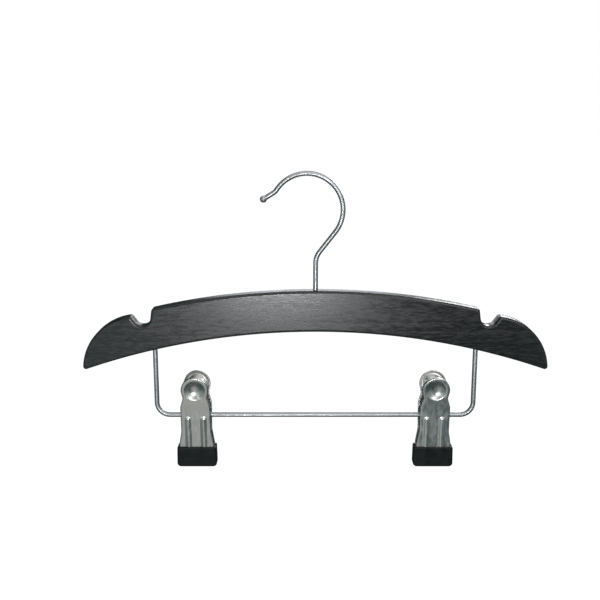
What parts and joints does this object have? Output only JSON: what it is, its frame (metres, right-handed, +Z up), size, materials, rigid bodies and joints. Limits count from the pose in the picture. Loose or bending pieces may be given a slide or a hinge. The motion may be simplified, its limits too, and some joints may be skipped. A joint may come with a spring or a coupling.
{
  "type": "skirt hanger",
  "caption": "Arched black-stained wooden hanger with shoulder notches, a swivelling wire hook, and sprung chromed clips with vinyl grips that slide on a wire bar.",
  "frame": {"origin": "middle of the inside of the crown of the hook, where a rail carries it", "axes": "+X along the board, away from the side that the hook opens to; +Z up; -Y towards the viewer of the front"},
  "size_m": [0.3548, 0.023, 0.2294],
  "materials": {
    "stained_wood": "black stain, satin, fine grain along the board",
    "plated_wire": "bright nickel plate",
    "plated_fastener": "dull zinc plate",
    "chromed_sheet": "bright chrome on pressed sheet",
    "black_vinyl": "semi-matte soft vinyl",
    "spring_wire": "drawn spring wire"
  },
  "bodies": {
    "hook": {"hook_wire": "plated_wire", "hook_washer": "plated_fastener", "hook_nut": "plated_fastener"},
    "hanger": {"wood_body": "stained_wood", "clip_bar": "plated_wire"},
    "left_slider": {"left_spring": "spring_wire"},
    "left_rear": {"left_rear_jaw": "chromed_sheet", "left_rear_cap": "black_vinyl"},
    "left_front": {"left_front_jaw": "chromed_sheet", "left_front_cap": "black_vinyl"},
    "right_slider": {"right_spring": "spring_wire"},
    "right_rear": {"right_rear_jaw": "chromed_sheet", "right_rear_cap": "black_vinyl"},
    "right_front": {"right_front_jaw": "chromed_sheet", "right_front_cap": "black_vinyl"}
  },
  "joints": [
    {"name": "hook_swivel", "type": "hinge", "parent": "hook", "child": "hanger", "pos_m": [0.0066, 0, -0.0853], "axis": [0, 0, 1], "continuous": true},
    {"name": "left_clip_slide", "type": "slide", "parent": "hanger", "child": "left_slider", "axis": [1, 0, 0], "range_m": [-0.008, 0.075]},
    {"name": "left_clip_swing", "type": "hinge", "parent": "left_slider", "child": "left_rear", "pos_m": [-0.0856, 0, -0.1842], "axis": [1, 0, 0], "continuous": true, "deforming": ["left_spring"]},
    {"name": "left_clip_open", "type": "hinge", "parent": "left_rear", "child": "left_front", "pos_m": [-0.0856, 0, -0.1842], "axis": [-1, 0, 0], "range_deg": [0, 27], "stiffness_Nm_per_rad": 0.3, "springref_deg": -45.84, "deforming": ["left_spring"]},
    {"name": "right_clip_slide", "type": "slide", "parent": "hanger", "child": "right_slider", "axis": [-1, 0, 0], "range_m": [-0.008, 0.075]},
    {"name": "right_clip_swing", "type": "hinge", "parent": "right_slider", "child": "right_rear", "pos_m": [0.0988, 0, -0.1842], "axis": [1, 0, 0], "continuous": true, "deforming": ["right_spring"]},
    {"name": "right_clip_open", "type": "hinge", "parent": "right_rear", "child": "right_front", "pos_m": [0.0988, 0, -0.1842], "axis": [-1, 0, 0], "range_deg": [0, 27], "stiffness_Nm_per_rad": 0.3, "springref_deg": -45.84, "deforming": ["right_spring"]}
  ]
}
